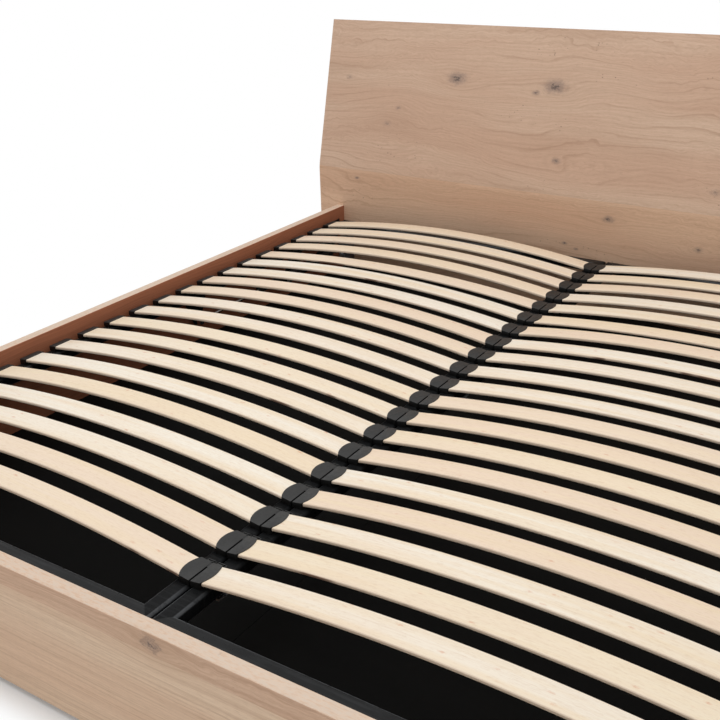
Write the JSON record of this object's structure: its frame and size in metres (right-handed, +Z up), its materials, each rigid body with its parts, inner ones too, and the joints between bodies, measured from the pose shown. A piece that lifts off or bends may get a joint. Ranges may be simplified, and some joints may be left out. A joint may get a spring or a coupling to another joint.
{
  "type": "lift-up storage bed frame",
  "caption": "Low oak bed frame with a splayed headboard and a hinged steel base of bowed slats over a storage well, held by gas struts.",
  "frame": {"origin": "middle of the footprint on the floor", "axes": "+Z up, +Y towards the headboard, +X to the right seen from the foot"},
  "size_m": [2.15, 2.2248, 0.8845],
  "materials": {
    "oak": "oiled pale oak with fine grain and small knots",
    "pine": "plain sawn softwood",
    "birch": "smooth bonded birch",
    "floor_black": "matt black faced board",
    "holder_plastic": "moulded black plastic",
    "felt_plastic": "plain black plastic",
    "pad_rubber": "soft black rubber",
    "black_steel": "satin black powder coat",
    "rod_chrome": "bright polished",
    "zinc": "zinc plated"
  },
  "bodies": {
    "bed_frame": {"headboard_upper": "oak", "headboard_lower": "oak", "headboard_gussets": "oak", "side_rail_left": "oak", "side_rail_right": "oak", "foot_rail": "oak", "corner_angles": "zinc", "corner_bolts": "zinc", "glides": "felt_plastic", "floor_panel_left": "floor_black", "floor_panel_right": "floor_black", "floor_cleats_side": "pine", "floor_cleats_end": "pine", "floor_bearers": "pine", "bearer_feet": "felt_plastic", "rest_brackets": "black_steel", "rest_pads": "pad_rubber", "hinge_plate_left": "black_steel", "hinge_plate_right": "black_steel", "hinge_bolts": "zinc", "hinge_pins": "zinc", "strut_studs": "zinc"},
    "lift_base": {"pivot_lug_left": "black_steel", "pivot_lug_right": "black_steel", "strut_lug_left": "black_steel", "strut_lug_right": "black_steel", "lug_bolts": "zinc", "base_side_left": "black_steel", "base_side_right": "black_steel", "base_centre_left": "black_steel", "base_centre_right": "black_steel", "base_foot_left": "black_steel", "base_foot_right": "black_steel", "base_head_left": "black_steel", "base_head_right": "black_steel", "base_joiners": "zinc", "slats_left": "birch", "slats_right": "birch", "side_holders_left": "holder_plastic", "side_holders_right": "holder_plastic", "centre_holders_left": "holder_plastic", "centre_holders_right": "holder_plastic"},
    "strut_left_barrel": {"strut_cylinder_left": "black_steel"},
    "strut_left_ram": {"strut_rod_left": "rod_chrome"},
    "strut_right_barrel": {"strut_cylinder_right": "black_steel"},
    "strut_right_ram": {"strut_rod_right": "rod_chrome"}
  },
  "joints": [
    {"name": "lift_hinge", "type": "hinge", "parent": "bed_frame", "child": "lift_base", "pos_m": [0, 0.90657, 0.213], "axis": [-1, 0, 0], "range_deg": [0, 45]},
    {"name": "strut_left_swing", "type": "hinge", "parent": "bed_frame", "child": "strut_left_barrel", "pos_m": [-0.9522, 0.86457, 0.139], "axis": [-1, 0, 0], "range_deg": [0, 45.78]},
    {"name": "strut_left_slide", "type": "slide", "parent": "strut_left_barrel", "child": "strut_left_ram", "axis": [0, -0.9996, -0.0282], "range_m": [0, 0.06454]},
    {"name": "strut_right_swing", "type": "hinge", "parent": "bed_frame", "child": "strut_right_barrel", "pos_m": [0.9522, 0.86457, 0.139], "axis": [-1, 0, 0], "range_deg": [0, 45.78]},
    {"name": "strut_right_slide", "type": "slide", "parent": "strut_right_barrel", "child": "strut_right_ram", "axis": [0, -0.9996, -0.0282], "range_m": [0, 0.06454]}
  ],
  "couplings": [
    {"joint": "strut_left_swing", "follows": "lift_hinge", "ratio": 1.0162},
    {"joint": "strut_left_slide", "follows": "lift_hinge", "m_per_rad": 0.082045},
    {"joint": "strut_right_swing", "follows": "lift_hinge", "ratio": 1.0162},
    {"joint": "strut_right_slide", "follows": "lift_hinge", "m_per_rad": 0.082045}
  ]
}
